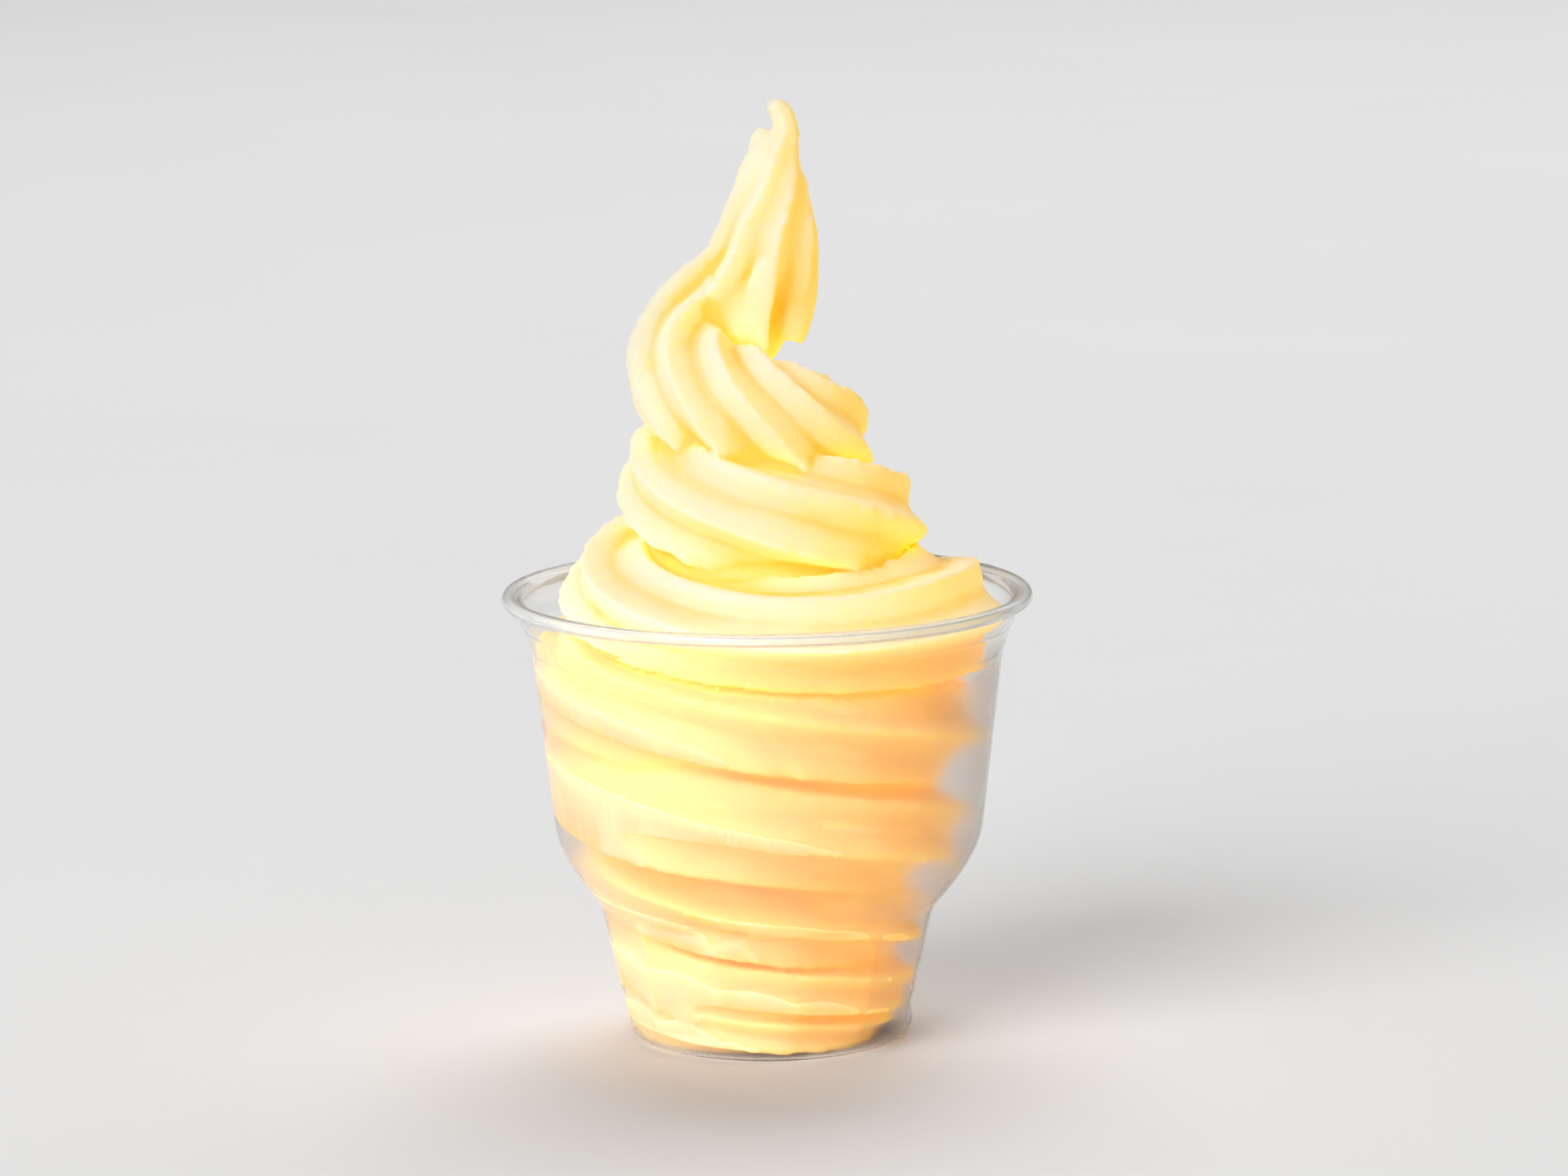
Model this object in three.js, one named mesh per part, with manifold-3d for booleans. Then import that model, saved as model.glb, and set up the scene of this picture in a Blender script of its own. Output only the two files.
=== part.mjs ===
// A clear sundae cup that holds one ridged rope of soft serve, wound up to a hooked tip.
// Millimetres, +Z up. The origin is the middle of the cup's flat base.
import * as THREE from 'three';
import { mergeVertices } from 'three/addons/utils/BufferGeometryUtils.js';
import Module from 'manifold-3d';

const wasm = await Module();
wasm.setup();

// Cup: radii and heights of the outside, from the base up
const WALL = 0.6;
const FOOT = { radius: 23.4, cornerRadius: 25.85, topRadius: 26.4, top: 2.7 };
const FACETS = { count: 12, rib: THREE.MathUtils.degToRad(9.5), from: 4.6, to: 24.4 };
const STEP = { radius: 31.8, height: 26 };
const SHOULDER = { bendRadius: 39.05, bendHeight: 34.2, topRadius: 39.75, top: 40 };
const NECK = { radius: 43.55, height: 72.7 };
const LOWER_RING = { radius: 43.95, height: 73.6 };
const UPPER_RING = { radius: 44.8, height: 76.9, outRadius: 45.6, outHeight: 78.1 };
const COLLAR = { radius: 45.9, height: 80.9 };
const LIP = { radius: 1.3, centreRadius: 47.7, centreHeight: 82.6, fromAngle: -126, toAngle: 153 };
const MOUTH = { radius: 45.2, height: 82.5, ledgeRadius: 46.4, ledgeHeight: 83.05 };
const CUP_SIDES = 48;
const CURVE_STEPS = 4;
const SAME_POINT = 0.001;

// Soft serve: the gap it keeps to the cup, and the star section of the rope
const GAP = 0.3;
const CEILING = 200;
const RIDGES = 7;
const POINTS_PER_RIDGE = 3;
const VALLEY_DEPTH = 0.21;
const CREST_EDGE = 0.12;
const STEPS_PER_TURN = 24;
const STEPS_PER_SEGMENT = 8;
const FINEST = 0.06;

// Bends: how far a reach may go towards the middle of a bend, as shares of the bend's radius
const BEND = { free: 0.4, most: 0.85, nudge: 0.01 };

// The rope's path: turns run clockwise from the right-hand side, seen from above.
// Shift moves the winding's axis along X. Width and tallness are half sizes of the section.
const STATIONS = [
  { turn: -1.25, shift: 0, radius: 10, height: 4, width: 8, tallness: 5, twist: -300 },
  { turn: -0.75, shift: -1, radius: 15, height: 5, width: 11, tallness: 6, twist: -235 },
  { turn: 0.25, shift: -1.5, radius: 17, height: 13, width: 12, tallness: 7.5, twist: -118 },
  { turn: 1.25, shift: -1.8, radius: 19.5, height: 27, width: 12.5, tallness: 10, twist: 2 },
  { turn: 2.25, shift: -2, radius: 26.4, height: 45, width: 13.5, tallness: 12, twist: 150 },
  { turn: 3.25, shift: -2, radius: 28.2, height: 64, width: 13.5, tallness: 12, twist: 276 },
  { turn: 3.75, shift: -1, radius: 29.2, height: 74, width: 13.5, tallness: 12, twist: 365 },
  { turn: 4, shift: 1, radius: 29.5, height: 79, width: 13.8, tallness: 12.5, twist: 412 },
  { turn: 4.25, shift: 1, radius: 28, height: 79.5, width: 13.5, tallness: 11, twist: 414 },
  { turn: 4.5, shift: 0, radius: 24.8, height: 83.5, width: 13.6, tallness: 11.5, twist: 464 },
  { turn: 4.75, shift: 0, radius: 21, height: 90.5, width: 13.5, tallness: 12, twist: 515 },
  { turn: 5, shift: -0.5, radius: 17, height: 96.5, width: 13.2, tallness: 12.5, twist: 556 },
  { turn: 5.25, shift: -0.5, radius: 15.5, height: 100, width: 13.8, tallness: 13.2, twist: 606 },
  { turn: 5.5, shift: -0.5, radius: 14, height: 104, width: 13.5, tallness: 13, twist: 661 },
  { turn: 5.75, shift: -1.5, radius: 12, height: 108.5, width: 13.5, tallness: 12.5, twist: 726 },
  { turn: 6, shift: -2.5, radius: 9.5, height: 111.5, width: 13.4, tallness: 12.8, twist: 806 },
  { turn: 6.125, shift: -2.7, radius: 9.7, height: 113.4, width: 13.2, tallness: 12.9, twist: 837 },
  { turn: 6.25, shift: -3, radius: 10, height: 117, width: 13, tallness: 13, twist: 889 },
  { turn: 6.5, shift: -4, radius: 9, height: 126.5, width: 13, tallness: 13, twist: 1004 },
  { turn: 6.75, shift: -3, radius: 4.5, height: 139, width: 12, tallness: 11.5, twist: 1070 },
  { turn: 7, shift: -1.3, radius: 2, height: 150.5, width: 9.3, tallness: 9.2, twist: 1158 },
  { turn: 7.25, shift: 1.6, radius: 1, height: 161, width: 6.4, tallness: 6.2, twist: 1282 },
  { turn: 7.5, shift: 4.5, radius: 0.5, height: 168.2, width: 2.7, tallness: 2.7, twist: 1374 },
  { turn: 7.75, shift: 3.4, radius: 0.5, height: 171.6, width: 2.1, tallness: 2.1, twist: 1464 },
  { turn: 8, shift: 1, radius: 0.5, height: 173.6, width: 1.3, tallness: 1.3, twist: 1554 },
];
const SIZES = ['shift', 'radius', 'height', 'width', 'tallness', 'twist'];
const FIRST_TURN = STATIONS[0].turn;
const LAST_TURN = STATIONS[STATIONS.length - 1].turn;
const CORE_TURNS = { from: -0.75, to: 6, step: 0.25 };

// The torn flap that hangs on the right of the tip
const FLAP_PATH = new THREE.CatmullRomCurve3([
  new THREE.Vector3(5.4, 0.5, 159),
  new THREE.Vector3(6.2, 0.5, 150),
  new THREE.Vector3(6.6, 0.8, 140),
  new THREE.Vector3(5.2, 0.5, 129.8),
]);
const FLAP = { width: 3.3, thickness: 2.4, steps: 8, sides: 8, taperFrom: 0.1, taperTo: 0.95 };

// Solids and geometries

function solidFrom(geometry) {
  const bare = geometry.clone();
  bare.deleteAttribute('normal');
  bare.deleteAttribute('uv');
  const merged = mergeVertices(bare, SAME_POINT);
  const corners = [];
  for (let i = 0; i < merged.index.count; i += 3) {
    const [a, b, c] = [0, 1, 2].map((k) => merged.index.getX(i + k));
    if (a !== b && b !== c && c !== a) corners.push(a, b, c);
  }
  return new wasm.Manifold(
    new wasm.Mesh({
      numProp: 3,
      vertProperties: new Float32Array(merged.attributes.position.array),
      triVerts: new Uint32Array(corners),
    }),
  );
}

function geometryFrom(solid) {
  const mesh = solid.getMesh();
  const geometry = new THREE.BufferGeometry();
  geometry.setAttribute('position', new THREE.BufferAttribute(mesh.vertProperties, 3));
  geometry.setIndex(new THREE.BufferAttribute(mesh.triVerts, 1));
  geometry.computeVertexNormals();
  return geometry;
}

// A closed tube through rings of points that all have the same count.
function tubeSolid(rings) {
  const count = rings[0].length;
  const points = rings.flat();
  const corners = [];
  for (let i = 0; i + 1 < rings.length; i++) {
    for (let j = 0; j < count; j++) {
      const a = i * count + j;
      const b = i * count + ((j + 1) % count);
      corners.push(a, b, a + count, b, b + count, a + count);
    }
  }
  const lastRing = (rings.length - 1) * count;
  const middles = [rings[0], rings[rings.length - 1]].map((ring) => {
    const middle = new THREE.Vector3();
    ring.forEach((point) => middle.addScaledVector(point, 1 / count));
    return points.push(middle) - 1;
  });
  for (let j = 0; j < count; j++) {
    const k = (j + 1) % count;
    corners.push(middles[0], k, j, middles[1], lastRing + j, lastRing + k);
  }
  const geometry = new THREE.BufferGeometry().setFromPoints(points);
  geometry.setIndex(corners);
  return solidFrom(geometry);
}

// Cup

function outerWall() {
  const path = new THREE.Path();
  const footSlope = (STEP.radius - FOOT.topRadius) / (STEP.height - FOOT.top);
  const taperRadius = (height) => FOOT.topRadius + footSlope * (height - FOOT.top);
  path.moveTo(0, 0);
  path.lineTo(FOOT.radius, 0);
  path.quadraticCurveTo(FOOT.cornerRadius, 0, FOOT.topRadius, FOOT.top);
  path.lineTo(taperRadius(FACETS.from), FACETS.from);
  path.lineTo(taperRadius(FACETS.to), FACETS.to);
  path.lineTo(STEP.radius, STEP.height);
  path.quadraticCurveTo(SHOULDER.bendRadius, SHOULDER.bendHeight, SHOULDER.topRadius, SHOULDER.top);
  path.lineTo(NECK.radius, NECK.height);
  path.lineTo(LOWER_RING.radius, LOWER_RING.height);
  path.lineTo(UPPER_RING.radius, UPPER_RING.height);
  path.lineTo(UPPER_RING.outRadius, UPPER_RING.outHeight);
  path.lineTo(COLLAR.radius, COLLAR.height);
  return path.getPoints(CURVE_STEPS);
}

// The same wall moved inwards, with each point on the line that halves its corner.
function insetWall(points, distance) {
  return points.map((point, i) => {
    const before = point.clone().sub(points[Math.max(i - 1, 0)]);
    const after = points[Math.min(i + 1, points.length - 1)].clone().sub(point);
    if (i === 0) before.copy(after);
    if (i === points.length - 1) after.copy(before);
    const along = before.normalize().add(after.normalize());
    const halfCorner = along.length() / 2;
    const inwards = new THREE.Vector2(-along.y, along.x).normalize();
    const moved = point.clone().addScaledVector(inwards, distance / halfCorner);
    if (i === 0) moved.x = 0;
    return moved;
  });
}

function lipPoints() {
  const path = new THREE.Path();
  const [from, to] = [LIP.fromAngle, LIP.toAngle].map(THREE.MathUtils.degToRad);
  path.absarc(LIP.centreRadius, LIP.centreHeight, LIP.radius, from, to, false);
  return path.getPoints(CURVE_STEPS);
}

// How far a facet's flat lies inside the round wall, as a share of the radius.
function facetShare(angle, height) {
  const pitch = (2 * Math.PI) / FACETS.count;
  const fromMiddle = THREE.MathUtils.euclideanModulo(angle - FACETS.rib, pitch) - pitch / 2;
  const flat = Math.cos(pitch / 2) / Math.cos(fromMiddle);
  const rise = THREE.MathUtils.smoothstep(height, FOOT.top, FACETS.from);
  const fall = 1 - THREE.MathUtils.smoothstep(height, FACETS.to, STEP.height);
  return 1 + rise * fall * (flat - 1);
}

// Turns a profile round the Z axis and presses the facets into its lower part.
function turnedProfile(profile) {
  const geometry = new THREE.LatheGeometry(profile, CUP_SIDES, FACETS.rib);
  geometry.rotateX(Math.PI / 2);
  const position = geometry.attributes.position;
  for (let i = 0; i < position.count; i++) {
    const angle = Math.atan2(position.getX(i), -position.getY(i));
    const share = facetShare(angle, position.getZ(i));
    position.setXY(i, position.getX(i) * share, position.getY(i) * share);
  }
  return geometry;
}

function cupSolid() {
  const outside = outerWall();
  const inside = insetWall(outside, WALL).reverse();
  const mouth = [
    new THREE.Vector2(MOUTH.ledgeRadius, MOUTH.ledgeHeight),
    new THREE.Vector2(MOUTH.radius, MOUTH.height),
  ];
  return solidFrom(turnedProfile([...outside, ...lipPoints(), ...mouth, ...inside]));
}

// Soft serve

const ropeSizes = new THREE.CubicInterpolant(
  STATIONS.map((station) => station.turn),
  STATIONS.flatMap((station) => SIZES.map((size) => station[size])),
  SIZES.length,
);

// The rope's sizes between the stations, on a smooth cubic through them.
function sizesAt(turn) {
  const values = ropeSizes.evaluate(turn);
  return Object.fromEntries(SIZES.map((size, i) => [size, values[i]]));
}

function outwards(turn) {
  return new THREE.Vector3(Math.cos(2 * Math.PI * turn), -Math.sin(2 * Math.PI * turn), 0);
}

function ropeMiddle(turn) {
  const { radius, shift, height } = sizesAt(turn);
  return outwards(turn).multiplyScalar(radius).add(new THREE.Vector3(shift, 0, height));
}

// The star's reach at an angle from a crest, as a share of the crest's own.
function starShare(angle) {
  const valley = Math.hypot(Math.sin((RIDGES * angle) / 2), CREST_EDGE) - CREST_EDGE;
  return 1 - (VALLEY_DEPTH * valley) / (Math.hypot(1, CREST_EDGE) - CREST_EDGE);
}

// Pulls a reach back from the middle of the bend, so that the tube never folds over itself.
function unfolded(reach, bend) {
  const share = reach.dot(bend);
  if (share <= BEND.free) return reach;
  const rest = BEND.most - BEND.free;
  const kept = BEND.free + rest * (1 - Math.exp((BEND.free - share) / rest));
  return reach.addScaledVector(bend, (kept - share) / bend.lengthSq());
}

function ropeRing(turn) {
  const middle = ropeMiddle(turn);
  const arriving = middle.clone().sub(ropeMiddle(turn - BEND.nudge));
  const leaving = ropeMiddle(turn + BEND.nudge).sub(middle);
  const length = (arriving.length() + leaving.length()) / 2;
  const bend = leaving.normalize().clone().sub(arriving.normalize()).divideScalar(length);
  const forwards = arriving.add(leaving).normalize();
  const out = outwards(turn);
  out.addScaledVector(forwards, -out.dot(forwards)).normalize();
  const over = new THREE.Vector3().crossVectors(forwards, out);
  const { width, tallness, twist } = sizesAt(turn);
  const count = RIDGES * POINTS_PER_RIDGE;
  return Array.from({ length: count }, (_, i) => {
    const fromCrest = (2 * Math.PI * i) / count;
    const angle = THREE.MathUtils.degToRad(twist) + fromCrest;
    const share = starShare(fromCrest);
    const reach = out.clone().multiplyScalar(width * share * Math.cos(angle));
    reach.addScaledVector(over, tallness * share * Math.sin(angle));
    return unfolded(reach, bend).add(middle);
  });
}

function ropeSolid() {
  const steps = Math.round((LAST_TURN - FIRST_TURN) * STEPS_PER_TURN);
  const rings = Array.from({ length: steps + 1 }, (_, i) => ropeRing(FIRST_TURN + i / STEPS_PER_TURN));
  let rope = null;
  for (let i = 0; i < steps; i += STEPS_PER_SEGMENT) {
    const segment = tubeSolid(rings.slice(i, i + STEPS_PER_SEGMENT + 1));
    rope = rope ? rope.add(segment) : segment;
  }
  return rope;
}

// Fills the middle of the winding, out to the rope's own middle line.
function coreSolid() {
  const profile = [];
  for (let turn = CORE_TURNS.from; turn <= CORE_TURNS.to; turn += CORE_TURNS.step) {
    const { radius, height } = sizesAt(turn);
    profile.push(new THREE.Vector2(radius, height));
  }
  profile.unshift(new THREE.Vector2(0, profile[0].y));
  profile.push(new THREE.Vector2(0, profile[profile.length - 1].y));
  return solidFrom(new THREE.LatheGeometry(profile, CUP_SIDES / 2).rotateX(Math.PI / 2));
}

function flapSolid() {
  const rings = Array.from({ length: FLAP.steps + 1 }, (_, i) => {
    const share = i / FLAP.steps;
    const middle = FLAP_PATH.getPointAt(share);
    const forwards = FLAP_PATH.getTangentAt(share);
    const across = new THREE.Vector3(0, 1, 0).cross(forwards).normalize();
    const through = new THREE.Vector3().crossVectors(forwards, across);
    const taper = Math.sqrt(Math.sin(Math.PI * THREE.MathUtils.lerp(FLAP.taperFrom, FLAP.taperTo, share)));
    return Array.from({ length: FLAP.sides }, (_unused, j) => {
      const angle = (2 * Math.PI * j) / FLAP.sides;
      return middle
        .clone()
        .addScaledVector(across, FLAP.width * taper * Math.cos(angle))
        .addScaledVector(through, FLAP.thickness * taper * Math.sin(angle));
    });
  });
  return tubeSolid(rings);
}

// The room inside the cup, less the gap, carried straight up above the rim.
function roomSolid() {
  const inside = insetWall(outerWall(), WALL + GAP);
  const top = inside[inside.length - 1];
  return solidFrom(
    turnedProfile([...inside, new THREE.Vector2(top.x, CEILING), new THREE.Vector2(0, CEILING)]),
  );
}

function softServeSolid() {
  const heap = ropeSolid().add(coreSolid()).add(flapSolid()).intersect(roomSolid());
  const shells = heap.simplify(FINEST).decompose();
  shells.sort((a, b) => b.volume() - a.volume());
  return shells[0];
}

// Scene

function namedMesh(name, solid, material) {
  const mesh = new THREE.Mesh(geometryFrom(solid), material);
  mesh.name = name;
  return mesh;
}

const clearPlastic = new THREE.MeshStandardMaterial({
  color: 0xf1efec,
  roughness: 0.06,
  metalness: 0,
  transparent: true,
  opacity: 0.3,
});
const yellowSoftServe = new THREE.MeshStandardMaterial({ color: 0xffe49a, roughness: 0.55, metalness: 0 });

const softServeCup = new THREE.Group();
softServeCup.add(namedMesh('cup', cupSolid(), clearPlastic));
softServeCup.add(namedMesh('soft_serve', softServeSolid(), yellowSoftServe));

export default softServeCup;
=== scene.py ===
import math

import bmesh
import bpy
import numpy as np
from mathutils import Matrix, Vector


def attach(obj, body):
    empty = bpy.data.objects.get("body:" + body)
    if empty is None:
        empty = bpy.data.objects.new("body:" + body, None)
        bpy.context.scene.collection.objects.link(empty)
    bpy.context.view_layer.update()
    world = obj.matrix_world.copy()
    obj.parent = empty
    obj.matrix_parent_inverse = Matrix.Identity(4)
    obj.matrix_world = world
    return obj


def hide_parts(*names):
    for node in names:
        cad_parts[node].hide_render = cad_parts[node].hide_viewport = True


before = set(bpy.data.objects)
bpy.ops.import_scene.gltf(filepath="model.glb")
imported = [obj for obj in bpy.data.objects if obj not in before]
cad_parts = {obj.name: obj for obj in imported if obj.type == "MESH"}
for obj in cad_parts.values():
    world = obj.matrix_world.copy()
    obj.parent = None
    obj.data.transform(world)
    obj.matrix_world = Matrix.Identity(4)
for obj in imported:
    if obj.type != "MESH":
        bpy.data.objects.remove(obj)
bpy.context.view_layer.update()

# A clear sundae cup that holds one ridged rope of yellow soft serve, wound up to a hooked tip.
# Sizes are millimetres, as in the part's source, and MM turns them into metres.
MM = 0.001

# Cup: radii and heights of the outside, from the base up
WALL = 0.6
FOOT = {"radius": 23.4, "corner_radius": 25.85, "top_radius": 26.4, "top": 2.7}
FACETS = {"count": 12, "rib": math.radians(9.5), "start": 4.6, "end": 24.4}
STEP = {"radius": 31.8, "height": 26}
SHOULDER = {"bend_radius": 39.05, "bend_height": 34.2, "top_radius": 39.75, "top": 40}
NECK = {"radius": 43.55, "height": 72.7}
LOWER_RING = {"radius": 43.95, "height": 73.6}
UPPER_RING = {"radius": 44.8, "height": 76.9, "out_radius": 45.6, "out_height": 78.1}
COLLAR = {"radius": 45.9, "height": 80.9}
LIP = {
    "radius": 1.3, "wall": 0.4, "centre_radius": 47.7, "centre_height": 82.6,
    "start": 185, "turn": -110, "end": 153,
}
MOUTH = {"radius": 45.2, "height": 82.5, "ledge_radius": 46.4, "ledge_height": 83.05}
CUP_SIDES = 192
BEND_STEPS = 12
LONGEST_STEP = 1.0
MERGE_DISTANCE = 1e-6
HAZE_FADE = (66 * MM, 79 * MM)
LIP_HAZE = (80.8 * MM, 81.6 * MM)

# Soft serve: the star section of the rope, how the winding may bend, and its uneven surface
RIDGES = 7
POINTS_PER_RIDGE = 14
VALLEY_DEPTH = 0.22
CREST_EDGE = 0.07
STEPS_PER_TURN = 240
BEND_FREE = 0.4
BEND_MOST = 0.85
BEND_NUDGE = 0.01
LEAST_BEND = 1e-6
TOOTH = {"height": 0.6, "length": 1.8, "narrow": 2.2, "apart": 7.3, "seed": 0.0}
LUMP = {"height": 0.35, "length": 14.0}
DRAG = {"height": 0.2, "per_ridge": 6.0, "length": 45.0, "seed": 4.0}
NOISE_SPAN = 4
VOXEL = 0.45
MOST_TRIANGLES = 190000

# How the soft serve meets the cup, and where painted shade changes its colour with height, contact with the
# wall and depth
REACH_INTO_WALL = 0.3
SETTLED = {"most": 1.5, "low_share": 0.8, "fades": 7.0, "edge": 1.0, "below": 74.0, "gone": 80.0}
SETTLED_SIDE = math.radians(-40)
TOUCHING = (0.05, 0.5)
# Heights over which the pressed food's painted shade turns from the deeper low shade to the wall shade.
LOW_SHADE_FADE = (20 * MM, 42 * MM)
# Heights over which the painted shade of the cup wall fades out towards the rim.
WALL_SHADE_FADE = (74 * MM, 82 * MM)
HOLLOW = {"passes": 40, "depth": 0.9}
# Deep gaps keep their painted valley shade and are mostly spared the painted wall shade, which covers a share
# of the food behind the wall.
GAP_HOLLOW = (0.55, 0.85)
GAP_SHARE = 0.8
BEHIND_WALL_SHADE_SHARE = 0.85

# The rope's path: turns run clockwise from the right-hand side, seen from above.
# Shift moves the winding's axis along X. Width and tallness are half sizes of the section.
SIZES = ("turn", "shift", "radius", "height", "width", "tallness", "twist")
STATIONS = (
    (-1.25, 0, 10, 4, 8, 5, -300),
    (-0.75, -1, 15, 5, 11, 6, -235),
    (0.25, -1.5, 17, 13, 12, 7.5, -118),
    (1.25, -1.8, 19.5, 27, 12.5, 10, 2),
    (2.25, -2, 26.4, 45, 13.5, 12, 150),
    (3.25, -2, 28.2, 64, 13.5, 12, 276),
    (3.75, -1, 29.2, 74, 13.5, 12, 365),
    (4, 1, 29.5, 79, 13.8, 12.5, 412),
    (4.25, 1, 28, 79.5, 13.5, 11, 414),
    (4.5, 0, 24.8, 83.5, 13.6, 11.5, 464),
    (4.75, 0, 21, 90.5, 13.5, 12, 515),
    (5, -0.5, 17, 96.5, 13.2, 12.5, 556),
    (5.25, -0.5, 15.5, 100, 13.8, 13.2, 606),
    (5.5, -0.5, 14, 104, 13.5, 13, 661),
    (5.75, -1.5, 12, 108.5, 13.5, 12.5, 726),
    (6, -2.5, 9.5, 111.5, 13.4, 12.8, 806),
    (6.125, -2.7, 9.7, 113.4, 13.2, 12.9, 837),
    (6.25, -3, 10, 117, 13, 13, 889),
    (6.5, -4, 9, 126.5, 13, 13, 1004),
    (6.75, -3, 4.5, 139, 12, 11.5, 1070),
    (7, -1.3, 2, 150.5, 9.3, 9.2, 1158),
    (7.25, 1.6, 1, 161, 6.4, 6.2, 1282),
    (7.5, 4.5, 0.5, 168.2, 2.7, 2.7, 1374),
    (7.75, 3.4, 0.5, 171.6, 2.1, 2.1, 1464),
    (8, 1, 0.5, 173.6, 1.3, 1.3, 1554),
)

# Towards the tip the valleys get shallower. A core fills the middle of the winding.
SMOOTHER = {"start": 6.9, "end": 7.3, "least": 0.5}
CORE_TURNS = {"start": -0.75, "end": 6, "step": 0.25}
CORE_REACH = 3.5

# The core has no facets: these heights, in metres, lie far above it.
UNPRESSED = {"Press start": 1.0, "Press full": 2.0, "Press less": 3.0, "Press end": 4.0}

# Strands on the cone: the torn flap on its right, the fold down its front, the shoulder beside the tip.
# Tilt turns a strand's flat side, so that its left edge sinks in and its right edge stands out.
STRAND_STEPS = 60
STRANDS = {
    "flap": {
        "path": ((5.4, 0.5, 159), (6.2, 0.5, 150), (6.6, 0.8, 140), (5.2, 0.5, 129.8)),
        "width": 4.2, "thickness": 2.2, "tilt": -40, "taper": (0.1, 0.9),
    },
    "fold": {
        "path": (
            (-2.3, -3.5, 127.8), (-1.5, -4.8, 133), (-0.8, -5.9, 138), (0.3, -7, 143), (1.6, -7.4, 147.5),
        ),
        "width": 3.1, "thickness": 1.1, "tilt": 22, "taper": (0.3, 0.97),
    },
    "shoulder": {
        "path": ((1.0, 0, 158), (0.0, 0, 162.5), (-0.4, 0, 166), (0.4, 0, 169)),
        "width": 2.5, "thickness": 2.4, "tilt": 0, "taper": (0.3, 0.95),
    },
}

# The fold's left side melts into the cone round this place.
MELTED = {"place": (-4.5, -6, 135), "reach": 7.5, "passes": 90}

# Colours, in linear light
# Painted light: the crest colour is a painted highlight and the valley colour is painted shade, ramped around
# the food's own body yellow by how hollow the surface is.
CREST_HIGHLIGHT = (0.98, 0.86, 0.68, 1)
YELLOW_BODY = (0.98, 0.84, 0.56, 1)
VALLEY_SHADE = (0.98, 0.72, 0.15, 1)
# Painted shade where the food presses on the wall, for the light that the cup wall would hold back. The low
# colour is deeper painted shade low in the cup, under the overhanging upper part.
PRESSED_SHADE_YELLOW = (0.85, 0.56, 0.36, 1)
LOW_SHADE_YELLOW = (0.88, 0.61, 0.38, 1)
# Painted shade of the cup wall on the food behind it, standing in for the light that the wall would hold
# back, since the cup casts no shadow.
BEHIND_WALL_SHADE = (0.84, 0.53, 0.165, 1)
CLEAR_PLASTIC = (0.97, 0.98, 0.98, 1)
MILKY_HAZE = (0.86, 0.85, 0.85, 1)
FLOOR_GREY = (0.66, 0.66, 0.66, 1)
WHITE = (1.0, 1.0, 1.0)
GOLDEN_GLOW = (1.0, 0.62, 0.03)
PALE_GLOW = (1.0, 0.80, 0.33)

# Lamps: places and sizes in metres, power in watts. All of them aim at the middle of the object.
AIM = (0, 0, 0.09)
WORLD_STRENGTH = 0.13
BOUNCES = {"max_bounces": 24, "diffuse_bounces": 12, "glossy_bounces": 8, "transmission_bounces": 16}
KEY_LIGHT = {"name": "key light", "place": (-2.1, -2.65, 2.0), "size": 2.8, "power": 148.0, "colour": WHITE}
BACK_LIGHT = {"name": "back light", "place": (1.5, 2.4, 2.2), "size": 2.4, "power": 23.0, "colour": WHITE}
FLOOR_LIGHT = {"name": "floor light", "place": (0, 2, 3.2), "size": 3.0, "power": 87.0, "colour": WHITE}

# Yellow lamps for the soft serve alone: the light that the real food passes on through its depth
GLOW_LAMPS = (
    {"name": "right glow", "place": (2.0, -0.5, 0.3), "size": 2.0, "power": 41.0, "colour": GOLDEN_GLOW},
    {"name": "low glow", "place": (-0.3, -0.5, -1.6), "size": 2.0, "power": 26.0, "colour": GOLDEN_GLOW},
    {"name": "back glow", "place": (-0.8, 1.9, 0.3), "size": 2.0, "power": 25.0, "colour": PALE_GLOW},
)

# Finishes: noise scales are per metre, and bumps are metres high. SOFT_FINISH also places the painted crest
# highlight and painted valley shade on the colour ramp.
SOFT_FINISH = {
    "churn_scale": 70.0, "churn_share": 0.25, "highlight_stop": 0.2, "body_stop": 0.5, "valley_shade_stop": 0.85,
    "grain_scale": 2200.0, "pebble_scale": 600.0, "bump": 0.00012, "bump_strength": 0.5,
    "roughness": 0.45, "roughness_spread": 0.2,
}
CLEAR_FINISH = {
    "ripple_scale": 90.0, "ripple": 0.0002, "ripple_strength": 0.15,
    "smear_scale": 240.0, "roughness": 0.01, "roughness_spread": 0.04,
}
HAZE_FINISH = {
    "mist_scale": 160.0, "mist_edge": 0.008, "milk": 0.09, "lip_milk": 0.16,
    "roughness": 0.28, "roughness_spread": 0.15, "lip_roughness": 0.12, "least_roughness": 0.02,
}
FLOOR_FINISH = {"cloud_scale": 6.0, "dark_stop": 0.3, "light_stop": 0.7, "lighter": 1.02}
PLASTIC_IOR = 1.22
FLOOR_HALF = 4.0

# Camera: the photograph's viewing angle, with the picture taken as 2000 pixels wide
CAMERA = {"distance": 1300.0, "elevation": 9.835, "roll": -0.54, "target": (3.151, 0, 83.898)}
FOCAL_PIXELS = 8983.4
PICTURE_WIDTH = 2000
SENSOR_WIDTH = 36.0


# Node trees

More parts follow.
